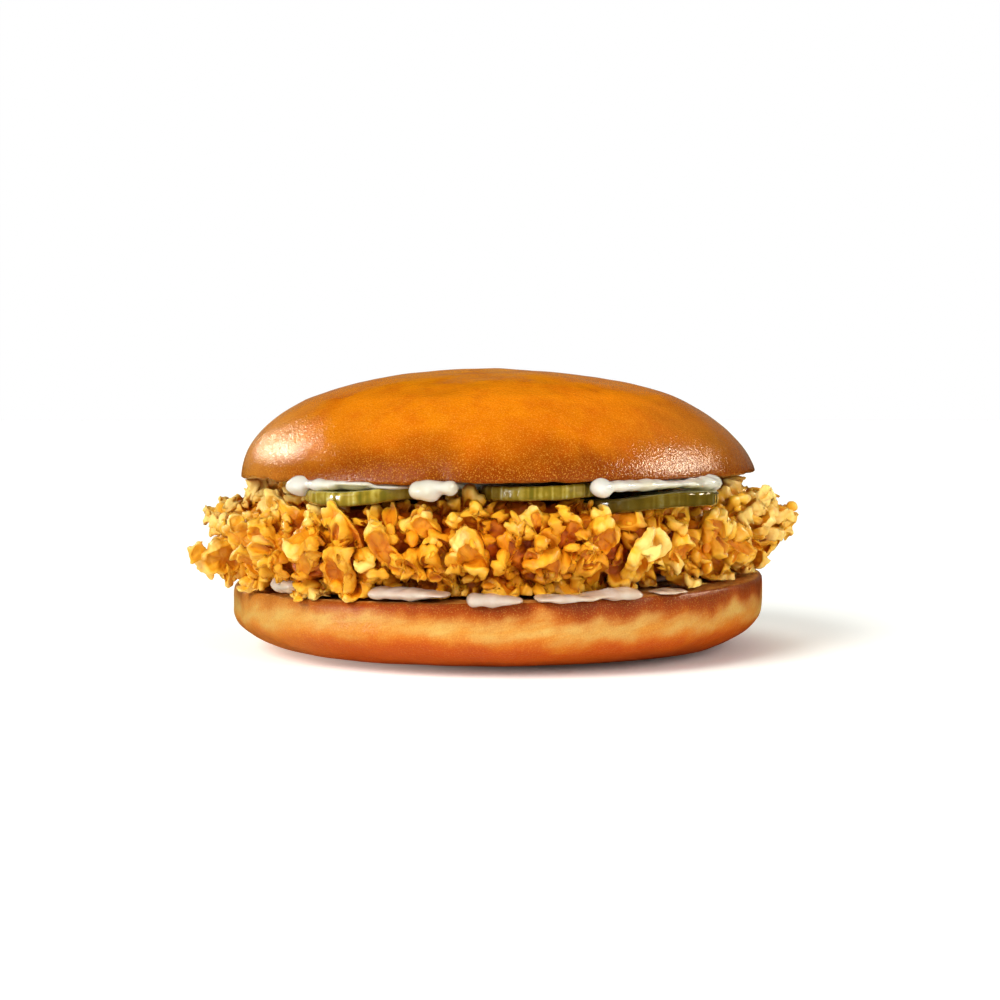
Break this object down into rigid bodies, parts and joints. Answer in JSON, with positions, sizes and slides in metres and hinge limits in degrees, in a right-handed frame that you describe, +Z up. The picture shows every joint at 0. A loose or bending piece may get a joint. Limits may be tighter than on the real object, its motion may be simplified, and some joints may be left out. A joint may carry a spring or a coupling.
{
  "type": "fried chicken burger",
  "caption": "Round glossy bun cut in two around a craggy fried chicken fillet, with pickle slices and mayonnaise; stands on its flat base.",
  "frame": {"origin": "centre of the flat underside of the bottom bun, on the surface that the burger stands on", "axes": "+Z up; +X to the right as seen from the front, along the fillet's length; -Y towards the front, where the pickles show"},
  "size_m": [0.1307, 0.1212, 0.0619],
  "materials": {
    "bun_crust": "glossy golden brown crust",
    "bun_base_crust": "satin pale brown crust",
    "fried_crust": "crisp golden crust",
    "pickle": "wet translucent green",
    "mayonnaise": "glossy cream white"
  },
  "bodies": {
    "root": {"bun_bottom": "bun_base_crust", "sauce_lower": "mayonnaise", "fried_chicken": "fried_crust", "pickle_left": "pickle", "pickle_middle": "pickle", "pickle_right": "pickle", "sauce_upper": "mayonnaise", "bun_top": "bun_crust"}
  },
  "joints": []
}
